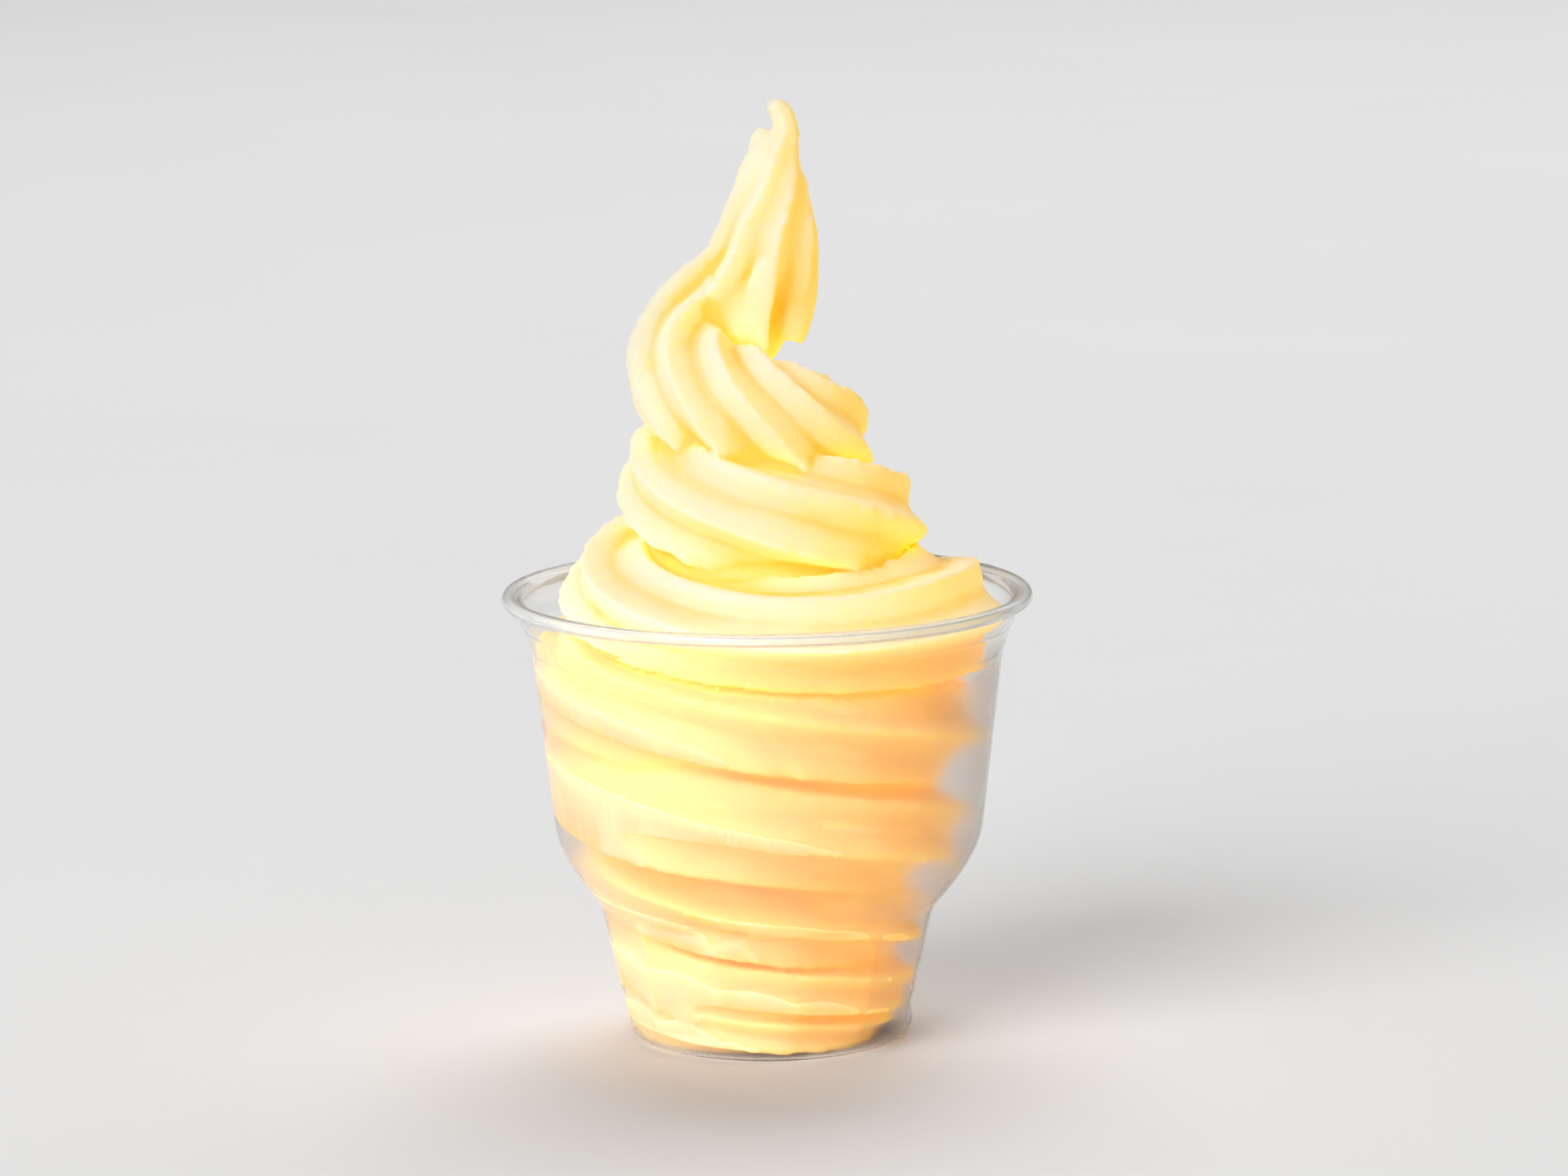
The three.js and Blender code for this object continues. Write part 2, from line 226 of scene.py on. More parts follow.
class Field:
    """A number or a vector that flows through a node tree, and takes Python's own operators."""

    def __init__(self, tree, socket):
        self.tree = tree
        self.socket = socket

    def is_vector(self):
        return self.socket.type == "VECTOR"

    def joined(self, operation, first, second):
        maker = vector_maths if self.is_vector() else maths
        return maker(self.tree, operation, first, second)

    def __add__(self, other):
        return self.joined("ADD", self, other)

    def __radd__(self, other):
        return self.joined("ADD", other, self)

    def __sub__(self, other):
        return self.joined("SUBTRACT", self, other)

    def __rsub__(self, other):
        return self.joined("SUBTRACT", other, self)

    def __mul__(self, other):
        if self.is_vector():
            return scaled(self, other)
        return self.joined("MULTIPLY", self, other)

    def __rmul__(self, other):
        return self * other

    def __truediv__(self, other):
        return self.joined("DIVIDE", self, other)

    def __rtruediv__(self, other):
        return self.joined("DIVIDE", other, self)


def feed(tree, socket, value):
    """Links a field to a socket, or sets a plain value on it."""
    if isinstance(value, Field):
        tree.links.new(value.socket, socket)
    else:
        socket.default_value = value


def maths(tree, operation, *values):
    node = tree.nodes.new("ShaderNodeMath")
    node.operation = operation
    for socket, value in zip(node.inputs, values):
        feed(tree, socket, value)
    return Field(tree, node.outputs["Value"])


def vector_maths(tree, operation, *values):
    node = tree.nodes.new("ShaderNodeVectorMath")
    node.operation = operation
    for socket, value in zip(node.inputs, values):
        feed(tree, socket, value)
    plain_number = operation in ("DOT_PRODUCT", "LENGTH")
    return Field(tree, node.outputs["Value" if plain_number else "Vector"])


def scaled(vector, amount):
    node = vector.tree.nodes.new("ShaderNodeVectorMath")
    node.operation = "SCALE"
    feed(vector.tree, node.inputs["Vector"], vector)
    feed(vector.tree, node.inputs["Scale"], amount)
    return Field(vector.tree, node.outputs["Vector"])


def combined(tree, x, y, z):
    node = tree.nodes.new("ShaderNodeCombineXYZ")
    for socket, value in zip(node.inputs, (x, y, z)):
        feed(tree, socket, value)
    return Field(tree, node.outputs["Vector"])


def separated(vector):
    node = vector.tree.nodes.new("ShaderNodeSeparateXYZ")
    feed(vector.tree, node.inputs["Vector"], vector)
    return [Field(vector.tree, socket) for socket in node.outputs]


def noise(tree, vector, scale, detail=2.0, roughness=0.5):
    """Smooth noise from 0 to 1, about 0.5 in the mean."""
    node = tree.nodes.new("ShaderNodeTexNoise")
    feed(tree, node.inputs["Vector"], vector)
    feed(tree, node.inputs["Scale"], scale)
    feed(tree, node.inputs["Detail"], detail)
    feed(tree, node.inputs["Roughness"], roughness)
    return Field(tree, node.outputs[0])


def eased(value, start, end):
    """Rises smoothly from 0 at start to 1 at end."""
    tree = value.tree
    node = tree.nodes.new("ShaderNodeMapRange")
    node.interpolation_type = "SMOOTHSTEP"
    feed(tree, node.inputs["Value"], value)
    feed(tree, node.inputs["From Min"], start)
    feed(tree, node.inputs["From Max"], end)
    return Field(tree, node.outputs["Result"])


def geometry_tree(name, sizes):
    """A geometry tree with a named input for each size, and a table of those inputs as fields."""
    tree = bpy.data.node_groups.new(name, "GeometryNodeTree")
    tree.interface.new_socket("Geometry", in_out="INPUT", socket_type="NodeSocketGeometry")
    tree.interface.new_socket("Geometry", in_out="OUTPUT", socket_type="NodeSocketGeometry")
    for size, kind in sizes.items():
        tree.interface.new_socket(size, in_out="INPUT", socket_type="NodeSocket" + kind)
    given = tree.nodes.new("NodeGroupInput")
    fields = {socket.name: Field(tree, socket) for socket in given.outputs if socket.name}
    return tree, fields


def geometry_node(tree, kind, settings=None, **inputs):
    """Adds a geometry node. Inputs are named as on the node, with _ for a space."""
    node = tree.nodes.new("GeometryNode" + kind)
    for setting, value in (settings or {}).items():
        setattr(node, setting, value)
    for name, value in inputs.items():
        feed(tree, node.inputs[name.replace("_", " ")], value)
    return node


def named(tree, name, kind="FLOAT"):
    node = geometry_node(tree, "InputNamedAttribute", {"data_type": kind}, Name=name)
    return Field(tree, node.outputs["Attribute"])


def ended(tree, geometry, *materials):
    """Ends a tree: smooth faces, real geometry, then each material on the faces that it is for."""
    smooth = geometry_node(tree, "SetShadeSmooth", Geometry=geometry)
    real = geometry_node(tree, "RealizeInstances", Geometry=Field(tree, smooth.outputs[0]))
    shape = Field(tree, real.outputs[0])
    for material, selection in materials:
        painted = geometry_node(tree, "SetMaterial", Geometry=shape, Selection=selection, Material=material)
        shape = Field(tree, painted.outputs[0])
    result = tree.nodes.new("NodeGroupOutput")
    feed(tree, result.inputs["Geometry"], shape)


def add_object(name, mesh):
    piece = bpy.data.objects.new(name, mesh)
    bpy.context.scene.collection.objects.link(piece)
    return piece


def finished_mesh(piece):
    """Turns what an object's modifiers give into its own plain mesh."""
    depsgraph = bpy.context.evaluated_depsgraph_get()
    mesh = bpy.data.meshes.new_from_object(piece.evaluated_get(depsgraph))
    piece.modifiers.clear()
    piece.data = mesh
    return piece


def grown(name, guide, tree, values):
    """Makes a plain mesh object from a guide and a geometry tree with its sizes set."""
    piece = add_object(name, guide)
    modifier = piece.modifiers.new(tree.name, "NODES")
    modifier.node_group = tree
    for socket in tree.interface.items_tree:
        if socket.in_out == "INPUT" and socket.name in values:
            modifier[socket.identifier] = values[socket.name]
    return finished_mesh(piece)


# Cup profile

def bend(start, corner, end):
    share = np.linspace(0, 1, BEND_STEPS + 1)[1:, None]
    start, corner, end = np.array(start), np.array(corner), np.array(end)
    return list((1 - share) ** 2 * start + 2 * share * (1 - share) * corner + share ** 2 * end)


def outer_wall():
    """Radius and height of the outside, from the middle of the base to the collar."""
    foot_top = (FOOT["top_radius"], FOOT["top"])
    step = (STEP["radius"], STEP["height"])
    slope = (step[0] - foot_top[0]) / (step[1] - foot_top[1])
    heights = (FACETS["start"], FACETS["end"])
    taper = [(foot_top[0] + slope * (height - foot_top[1]), height) for height in heights]
    shoulder_bend = (SHOULDER["bend_radius"], SHOULDER["bend_height"])
    shoulder_top = (SHOULDER["top_radius"], SHOULDER["top"])
    points = [(0, 0), (FOOT["radius"], 0)]
    points += bend(points[-1], (FOOT["corner_radius"], 0), foot_top)
    points += taper + [step]
    points += bend(step, shoulder_bend, shoulder_top)
    points += [
        (NECK["radius"], NECK["height"]),
        (LOWER_RING["radius"], LOWER_RING["height"]),
        (UPPER_RING["radius"], UPPER_RING["height"]),
        (UPPER_RING["out_radius"], UPPER_RING["out_height"]),
        (COLLAR["radius"], COLLAR["height"]),
    ]
    return np.array([tuple(point) for point in points], float)


def inset(points, distance):
    """The same wall moved inwards, with each point on the line that halves its corner."""
    steps = np.diff(points, axis=0)
    steps /= np.linalg.norm(steps, axis=1)[:, None]
    along = np.vstack([steps[:1], steps]) + np.vstack([steps, steps[-1:]])
    length = np.linalg.norm(along, axis=1)[:, None]
    inwards = np.column_stack([-along[:, 1], along[:, 0]]) / length
    moved = points + inwards * distance / (length / 2)
    moved[0, 0] = 0
    return moved


def lip_points():
    """The rolled lip: a curl of the wall that goes over, down and back under, open towards the collar."""
    inner = np.linspace(LIP["start"], LIP["turn"], 2 * BEND_STEPS + 1)
    outer = np.linspace(LIP["turn"], LIP["end"], 2 * BEND_STEPS + 1)
    angle = np.radians(np.concatenate([inner, outer]))
    radius = np.repeat([LIP["radius"] - LIP["wall"], LIP["radius"]], [len(inner), len(outer)])
    return np.column_stack([
        LIP["centre_radius"] + radius * np.cos(angle),
        LIP["centre_height"] + radius * np.sin(angle),
    ])


def filled(points):
    """Adds points so that no step is longer than LONGEST_STEP."""
    rows = [points[:1]]
    for start, end in zip(points[:-1], points[1:]):
        count = max(1, math.ceil(np.linalg.norm(end - start) / LONGEST_STEP))
        rows.append(start + (end - start) * (np.arange(1, count + 1) / count)[:, None])
    return np.vstack(rows)


def facet_share(angle, height):
    """How far a facet's flat lies inside the round wall, as a share of the radius."""
    pitch = 2 * math.pi / FACETS["count"]
    from_middle = (angle - FACETS["rib"]) % pitch - pitch / 2
    flat = math.cos(pitch / 2) / np.cos(from_middle)
    rise = np.clip((height - FOOT["top"]) / (FACETS["start"] - FOOT["top"]), 0, 1)
    fall = np.clip((STEP["height"] - height) / (STEP["height"] - FACETS["end"]), 0, 1)
    pressed = (3 - 2 * rise) * rise ** 2 * (3 - 2 * fall) * fall ** 2
    return 1 + pressed * (flat - 1)


def guide_mesh(name, points, edges=(), **values):
    """Points in millimetres as a bare mesh, with values for each point in named attributes."""
    mesh = bpy.data.meshes.new(name)
    mesh.from_pydata((np.asarray(points) * MM).tolist(), list(edges), [])
    for key, value in values.items():
        value = np.asarray(value, np.float32)
        kind = "FLOAT" if value.ndim == 1 else "FLOAT_VECTOR"
        attribute = mesh.attributes.new(key, kind, "POINT")
        attribute.data.foreach_set("value" if value.ndim == 1 else "vector", value.ravel())
    return mesh


def turned_tree():
    """Turns a profile round the Z axis, and presses flat facets into a band of it."""
    tree, given = geometry_tree("Turned profile", {
        "Sides": "Int", "Facets": "Int", "Rib angle": "Float",
        "Press start": "Float", "Press full": "Float", "Press less": "Float", "Press end": "Float",
        "Material": "Material", "Inside material": "Material",
    })
    count = geometry_node(tree, "AttributeDomainSize", Geometry=given["Geometry"])
    rows = Field(tree, count.outputs["Point Count"])
    columns = given["Sides"] + 1
    grid = geometry_node(tree, "MeshGrid", Vertices_X=rows, Vertices_Y=columns)
    index = Field(tree, geometry_node(tree, "InputIndex").outputs["Index"])
    row = maths(tree, "FLOOR", (index + 0.5) / columns)
    angle = maths(tree, "MODULO", index, columns) / given["Sides"] * (2 * math.pi)

    def on_profile(value, kind):
        sample = geometry_node(
            tree, "SampleIndex", {"data_type": kind}, Geometry=given["Geometry"], Value=value, Index=row)
        return Field(tree, sample.outputs["Value"])

    position = Field(tree, geometry_node(tree, "InputPosition").outputs["Position"])
    radius, _, height = separated(on_profile(position, "FLOAT_VECTOR"))
    pitch = 2 * math.pi / given["Facets"]
    from_middle = maths(tree, "FLOORED_MODULO", angle - given["Rib angle"], pitch) - pitch / 2
    flat = maths(tree, "COSINE", pitch / 2) / maths(tree, "COSINE", from_middle)
    rise = eased(height, given["Press start"], given["Press full"])
    fall = 1 - eased(height, given["Press less"], given["Press end"])
    reach = radius * (rise * fall * (flat - 1) + 1)
    place = combined(
        tree, reach * maths(tree, "SINE", angle), reach * maths(tree, "COSINE", angle) * -1, height)
    inside = on_profile(named(tree, "hazy"), "FLOAT")
    kept = geometry_node(
        tree, "StoreNamedAttribute", {"data_type": "FLOAT", "domain": "POINT"},
        Geometry=Field(tree, grid.outputs["Mesh"]), Name="hazy", Value=inside)
    moved = geometry_node(tree, "SetPosition", Geometry=Field(tree, kept.outputs[0]), Position=place)
    turned = geometry_node(tree, "FlipFaces", Mesh=Field(tree, moved.outputs[0]))
    closed = geometry_node(
        tree, "MergeByDistance", Geometry=Field(tree, turned.outputs[0]), Distance=MERGE_DISTANCE)
    hazy = maths(tree, "GREATER_THAN", named(tree, "hazy"), 0.5)
    ended(tree, Field(tree, closed.outputs[0]), (given["Material"], True), (given["Inside material"], hazy))
    return tree


# Soft serve rope

def between_stations(turn, size):
    """A size of the rope on a smooth cubic through the stations, whose slopes are the mean of their sides."""
    table = np.array(STATIONS, float)
    knots = table[:, 0]
    values = table[:, SIZES.index(size)]
    gaps = np.diff(knots)
    rates = np.diff(values) / gaps
    slopes = np.concatenate([rates[:1], (rates[:-1] + rates[1:]) / 2, rates[-1:]])
    i = np.clip(np.searchsorted(knots, turn) - 1, 0, len(gaps) - 1)
    share = (np.clip(turn, knots[0], knots[-1]) - knots[i]) / gaps[i]
    return (
        (2 * share ** 3 - 3 * share ** 2 + 1) * values[i]
        + (share ** 3 - 2 * share ** 2 + share) * gaps[i] * slopes[i]
        + (3 * share ** 2 - 2 * share ** 3) * values[i + 1]
        + (share ** 3 - share ** 2) * gaps[i] * slopes[i + 1]
    )


def unit(vectors):
    return vectors / np.linalg.norm(vectors, axis=1)[:, None]


def outwards(turn):
    angle = 2 * math.pi * turn
    return np.column_stack([np.cos(angle), -np.sin(angle), np.zeros_like(angle)])


def rope_middle(turn):
    axis = np.column_stack([
        between_stations(turn, "shift"), np.zeros_like(turn), between_stations(turn, "height")])
    return axis + between_stations(turn, "radius")[:, None] * outwards(turn)


def path_guide(name, middle, before, after, out, width, tallness, twist, depth):
    """A guide along a path: its frame and bend, and its section's half sizes, twist and valley depth."""
    arriving = middle - before
    leaving = after - middle
    step = (np.linalg.norm(arriving, axis=1) + np.linalg.norm(leaving, axis=1)) / 2
    arriving = unit(arriving)
    leaving = unit(leaving)
    forwards = unit(arriving + leaving)
    out = unit(out - (out * forwards).sum(1)[:, None] * forwards)
    lengths = np.linalg.norm(np.diff(middle, axis=0), axis=1)
    return guide_mesh(
        name, middle, [(i, i + 1) for i in range(len(middle) - 1)],
        middle=middle * MM, out=out, over=np.cross(forwards, out),
        bend=(leaving - arriving) / (step * MM)[:, None], width=width * MM, tallness=tallness * MM,
        twist=twist, depth=depth, along=np.concatenate([[0], np.cumsum(lengths)]) * MM)


def rope_guide():
    first, last = STATIONS[0][0], STATIONS[-1][0]
    turn = np.linspace(first, last, round((last - first) * STEPS_PER_TURN) + 1)
    fade = np.clip((turn - SMOOTHER["start"]) / (SMOOTHER["end"] - SMOOTHER["start"]), 0, 1)
    depth = VALLEY_DEPTH * (1 - (1 - SMOOTHER["least"]) * fade)
    return path_guide(
        "rope guide", rope_middle(turn), rope_middle(turn - BEND_NUDGE), rope_middle(turn + BEND_NUDGE),
        outwards(turn), between_stations(turn, "width"), between_stations(turn, "tallness"),
        np.radians(between_stations(turn, "twist")), depth)


def strand_guide(name):
    strand = STRANDS[name]
    points = np.array(strand["path"], float)
    knots = np.arange(len(points))
    weights = [np.polyfit(knots, points[:, axis], len(points) - 1) for axis in range(3)]

    def place(share):
        return np.column_stack([np.polyval(weight, share * knots[-1]) for weight in weights])

    share = np.linspace(0, 1, STRAND_STEPS + 1)
    nudge = 0.5 / STRAND_STEPS
    tilt = math.radians(strand["tilt"])
    across = np.tile([math.cos(tilt), -math.sin(tilt), 0.0], (len(share), 1))
    first, last = strand["taper"]
    taper = np.sqrt(np.sin(math.pi * (first + (last - first) * share)))
    return path_guide(
        name + " guide", place(share), place(share - nudge), place(share + nudge), across,
        strand["width"] * taper, strand["thickness"] * taper, np.zeros_like(share), np.zeros_like(share))


def rope_tree():
    """Sweeps a star section along a guide, with teeth on its crests, lumps, and lines drawn along it."""
    tree, given = geometry_tree("Ridged rope", {
        "Ridges": "Int", "Points per ridge": "Int", "Crest edge": "Float",
        "Bend free": "Float", "Bend most": "Float", "Tooth height": "Float", "Tooth length": "Float",
        "Tooth narrow": "Float", "Tooth apart": "Float", "Tooth seed": "Float",
        "Lump height": "Float", "Lump length": "Float", "Drag height": "Float", "Drag per ridge": "Float",
        "Drag length": "Float", "Drag seed": "Float", "Material": "Material",
    })
    ridges, edge = given["Ridges"], given["Crest edge"]
    points = ridges * given["Points per ridge"]
    circle = geometry_node(tree, "CurvePrimitiveCircle", Resolution=points)
    index = Field(tree, geometry_node(tree, "InputIndex").outputs["Index"])
    section = geometry_node(
        tree, "StoreNamedAttribute", {"data_type": "FLOAT", "domain": "POINT"},
        Geometry=Field(tree, circle.outputs["Curve"]), Name="around", Value=index / points * (2 * math.pi))
    path = geometry_node(tree, "MeshToCurve", Mesh=given["Geometry"])
    tube = geometry_node(
        tree, "CurveToMesh", Curve=Field(tree, path.outputs[0]),
        Profile_Curve=Field(tree, section.outputs[0]), Fill_Caps=True)

    around, along = named(tree, "around"), named(tree, "along")
    root_of_one = maths(tree, "SQRT", edge * edge + 1)
    wave = maths(tree, "SINE", around * ridges / 2)
    valley = (maths(tree, "SQRT", wave * wave + edge * edge) - edge) / (root_of_one - edge)
    share = 1 - named(tree, "depth") * valley
    angle = named(tree, "twist") + around
    wide = named(tree, "width") * share * maths(tree, "COSINE", angle)
    tall = named(tree, "tallness") * share * maths(tree, "SINE", angle)
    reach = named(tree, "out", "FLOAT_VECTOR") * wide + named(tree, "over", "FLOAT_VECTOR") * tall

    bend_arrow = named(tree, "bend", "FLOAT_VECTOR")
    towards = vector_maths(tree, "DOT_PRODUCT", reach, bend_arrow)
    sharp = maths(tree, "MAXIMUM", vector_maths(tree, "DOT_PRODUCT", bend_arrow, bend_arrow), LEAST_BEND)
    rest = given["Bend most"] - given["Bend free"]
    over_free = maths(tree, "MAXIMUM", towards - given["Bend free"], 0.0)
    kept = rest * (1 - maths(tree, "EXPONENT", over_free / rest * -1))
    reach = reach + bend_arrow * ((kept - over_free) / sharp)

    crest = maths(tree, "FLOOR", around * ridges / (2 * math.pi) + 0.5)
    tooth_place = combined(
        tree, along / given["Tooth length"], crest * given["Tooth apart"], given["Tooth seed"])
    teeth = (noise(tree, tooth_place, 1.0, 3.0, 0.6) - 0.5) * given["Tooth height"] * NOISE_SPAN
    teeth = teeth * maths(tree, "MAXIMUM", 1 - valley * given["Tooth narrow"], 0.0)
    middle = named(tree, "middle", "FLOAT_VECTOR")
    lumps = noise(tree, middle + reach, 1 / given["Lump length"], 1.5) - 0.5
    lumps = lumps * given["Lump height"] * NOISE_SPAN
    across = around * ridges / (2 * math.pi) * given["Drag per ridge"]
    drag_place = combined(tree, along / given["Drag length"], across, given["Drag seed"])
    lines = (noise(tree, drag_place, 1.0, 1.0) - 0.5) * given["Drag height"] * NOISE_SPAN
    rough_reach = vector_maths(tree, "NORMALIZE", reach) * (teeth + lumps + lines)
    place = middle + reach + rough_reach
    shaped = geometry_node(tree, "SetPosition", Geometry=Field(tree, tube.outputs["Mesh"]), Position=place)
    ended(tree, Field(tree, shaped.outputs[0]), (given["Material"], True))
    return tree


def core_profile():
    """Fills the middle of the winding, a little past the rope's own middle line."""
    turns = np.arange(CORE_TURNS["start"], CORE_TURNS["end"] + CORE_TURNS["step"] / 2, CORE_TURNS["step"])
    radius = between_stations(turns, "radius") + CORE_REACH
    profile = np.column_stack([radius, between_stations(turns, "height")])
    return np.vstack([[0, profile[0, 1]], profile, [0, profile[-1, 1]]])


def profile_guide(name, profile, hazy):
    radius, height = profile.T
    return guide_mesh(name, np.column_stack([radius, np.zeros_like(radius), height]), hazy=hazy)


def one_mesh(name, pieces):
    """Joins objects into one mesh, and removes them."""
    together = bmesh.new()
    for piece in pieces:
        together.from_mesh(piece.data)
        bpy.data.objects.remove(piece)
    mesh = bpy.data.meshes.new(name)
    together.to_mesh(mesh)
    together.free()
    return mesh


def largest_shell(mesh):
    """Deletes every closed shell but the one with the most corners."""
    shape = bmesh.new()
    shape.from_mesh(mesh)
    unseen = set(shape.verts)
    shells = []
    while unseen:
        shell = {unseen.pop()}
        front = list(shell)
        while front:
            corner = front.pop()
            near = [edge.other_vert(corner) for edge in corner.link_edges]
            new = [other for other in near if other in unseen]
            unseen.difference_update(new)
            shell.update(new)
            front.extend(new)
        shells.append(shell)
    shells.sort(key=len)
    stray = [corner for shell in shells[:-1] for corner in shell]
    bmesh.ops.delete(shape, geom=stray, context="VERTS")
    shape.to_mesh(mesh)
    shape.free()


def corners_of(mesh):
    places = np.empty(len(mesh.vertices) * 3, np.float32)
    mesh.vertices.foreach_get("co", places)
    return places.reshape(-1, 3).astype(float)


def room_at(angle, height):
    """How far out the soft serve may reach: just into the wall."""
    room = inset(outer_wall(), WALL - REACH_INTO_WALL)
    return np.interp(height, room[1:, 1], room[1:, 0]) * facet_share(angle, height)


def round_places(mesh):
    x, y, height = (corners_of(mesh) / MM).T
    return np.hypot(x, y), np.arctan2(x, -y), height


def pressed_into_cup(mesh):
    """Flattens the soft serve where it meets the cup, as it settled against the wall."""
    radius, angle, height = round_places(mesh)
    most = room_at(angle, height)
    gap = most - radius
    held = np.clip((SETTLED["gone"] - height) / (SETTLED["gone"] - SETTLED["below"]), 0, 1)
    held = held * np.where(height < STEP["height"], SETTLED["low_share"], 1)
    facing = (1 + np.cos(angle - SETTLED_SIDE)) / 2
    push = held * (SETTLED["most"] * facing)
    closer = (gap - push) * SETTLED["fades"] / (SETTLED["fades"] - push)
    gap = np.where(gap < SETTLED["fades"], np.maximum(closer, 0), gap)
    gap = np.maximum(gap, np.sqrt(np.clip(gap, 0, SETTLED["edge"]) * SETTLED["edge"]))
    radius = np.where(height > COLLAR["height"], radius, most - gap)
    height = np.maximum(height, WALL - REACH_INTO_WALL)
    places = np.column_stack([radius * np.sin(angle), -radius * np.cos(angle), height])
    mesh.vertices.foreach_set("co", (places * MM).astype(np.float32).ravel())
    mesh.update()


def touching_shares(mesh):
    """From 0 clear of the cup to 1 where the soft serve is pressed on the wall."""
    radius, angle, height = round_places(mesh)
    gap = np.where(height > UPPER_RING["height"], TOUCHING[1], room_at(angle, height) - radius)
    return np.clip((TOUCHING[1] - gap) / (TOUCHING[1] - TOUCHING[0]), 0, 1)


def smoothed_corners(mesh, passes):
    """Corners after each has moved to the mean of its neighbours, a number of times."""
    places = corners_of(mesh)
    ends = np.empty(len(mesh.edges) * 2, np.int32)
    mesh.edges.foreach_get("vertices", ends)
    first, second = ends.reshape(-1, 2).T
    count = len(places)
    links = np.bincount(first, minlength=count) + np.bincount(second, minlength=count)
    for _ in range(passes):
        places = np.column_stack([
            np.bincount(first, places[second, axis], count) + np.bincount(second, places[first, axis], count)
            for axis in range(3)
        ]) / links[:, None]
    return places


def melted(mesh):
    """Smooths the soft serve round one place, and less and less away from it."""
    places = corners_of(mesh)
    away = np.linalg.norm(places / MM - np.array(MELTED["place"]), axis=1) / MELTED["reach"]
    share = np.clip(1 - away ** 2, 0, 1)[:, None]
    places += share * (smoothed_corners(mesh, MELTED["passes"]) - places)
    mesh.vertices.foreach_set("co", places.astype(np.float32).ravel())
    mesh.update()


# These shares place the painted crest highlight and the painted valley shade.
def hollow_shares(mesh):
    """From 0 on a crest to 1 in a valley, by how far each corner lies below its smoothed neighbours."""
    normals = np.empty(len(mesh.vertices) * 3, np.float32)
    mesh.vertices.foreach_get("normal", normals)
    lower = smoothed_corners(mesh, HOLLOW["passes"]) - corners_of(mesh)
    depth = (lower * normals.reshape(-1, 3)).sum(1) / MM
    return np.clip(0.5 + depth / (2 * HOLLOW["depth"]), 0, 1)


def soft_serve_piece(material, turned, ridged):
    sizes = {
        "Ridges": RIDGES, "Points per ridge": POINTS_PER_RIDGE, "Crest edge": CREST_EDGE,
        "Bend free": BEND_FREE, "Bend most": BEND_MOST,
        "Tooth height": TOOTH["height"] * MM, "Tooth length": TOOTH["length"] * MM,
        "Tooth narrow": TOOTH["narrow"], "Tooth apart": TOOTH["apart"], "Tooth seed": TOOTH["seed"],
        "Lump height": LUMP["height"] * MM, "Lump length": LUMP["length"] * MM,
        "Drag height": DRAG["height"] * MM, "Drag per ridge": DRAG["per_ridge"],
        "Drag length": DRAG["length"] * MM, "Drag seed": DRAG["seed"], "Material": material,
    }
    rope = grown("rope", rope_guide(), ridged, sizes)
    strands = [grown(name, strand_guide(name), ridged, sizes) for name in STRANDS]
    profile = core_profile()
    core = grown("core", profile_guide("core guide", profile, np.zeros(len(profile))), turned, {
        "Sides": CUP_SIDES // 2, "Facets": FACETS["count"], "Rib angle": 0.0, **UNPRESSED,
        "Material": material, "Inside material": material,
    })
    piece = add_object("soft_serve_swirl", one_mesh("soft serve", [rope, core] + strands))
    remesh = piece.modifiers.new("whole", "REMESH")
    remesh.mode = "VOXEL"
    remesh.voxel_size = VOXEL * MM
    remesh.use_smooth_shade = True
    finished_mesh(piece)
    largest_shell(piece.data)
    melted(piece.data)
    pressed_into_cup(piece.data)
    fewer = piece.modifiers.new("fewer", "DECIMATE")
    fewer.ratio = min(1.0, MOST_TRIANGLES / (2 * len(piece.data.polygons)))
    finished_mesh(piece)
    for name, shares in (("hollow", hollow_shares), ("touching", touching_shares)):
        attribute = piece.data.attributes.new(name, "FLOAT", "POINT")
        attribute.data.foreach_set("value", shares(piece.data).astype(np.float32))
    piece.data.materials.clear()
    piece.data.materials.append(material)
    piece.data.shade_smooth()
    return piece


def cup_piece(clear, hazy, turned):
    outside = outer_wall()
    inside = inset(outside, WALL)[::-1]
    mouth = [(MOUTH["ledge_radius"], MOUTH["ledge_height"]), (MOUTH["radius"], MOUTH["height"])]
    upper = filled(outside)
    lower = filled(np.vstack([lip_points(), mouth, inside]))
    profile = np.vstack([upper, lower])
    is_hazy = np.concatenate([np.zeros(len(upper)), np.ones(len(lower))])
    return grown("sundae_cup", profile_guide("cup guide", profile, is_hazy), turned, {
        "Sides": CUP_SIDES, "Facets": FACETS["count"], "Rib angle": FACETS["rib"],
        "Press start": FOOT["top"] * MM, "Press full": FACETS["start"] * MM,
        "Press less": FACETS["end"] * MM, "Press end": STEP["height"] * MM,
        "Material": clear, "Inside material": hazy,
    })


# Materials

def new_material(name):
    material = bpy.data.materials.new(name)
    material.use_nodes = True
    tree = material.node_tree
    shader = tree.nodes["Principled BSDF"]
    coordinates = tree.nodes.new("ShaderNodeTexCoord")
    return material, tree, shader, Field(tree, coordinates.outputs["Object"])


def ramp(share, stops):
    node = share.tree.nodes.new("ShaderNodeValToRGB")
    elements = node.color_ramp.elements
    while len(elements) < len(stops):
        elements.new(0.5)
    for element, (position, colour) in zip(elements, stops):
        element.position = position
        element.color = colour
    feed(share.tree, node.inputs["Fac"], share)
    return Field(share.tree, node.outputs["Color"])


def mixed(share, first, second):
    """Mixes two colours. The node's colour sockets are inputs 6 and 7 and output 2."""
    node = share.tree.nodes.new("ShaderNodeMix")
    node.data_type = "RGBA"
    feed(share.tree, node.inputs["Factor"], share)
    feed(share.tree, node.inputs[6], first)
    feed(share.tree, node.inputs[7], second)
    return Field(share.tree, node.outputs[2])


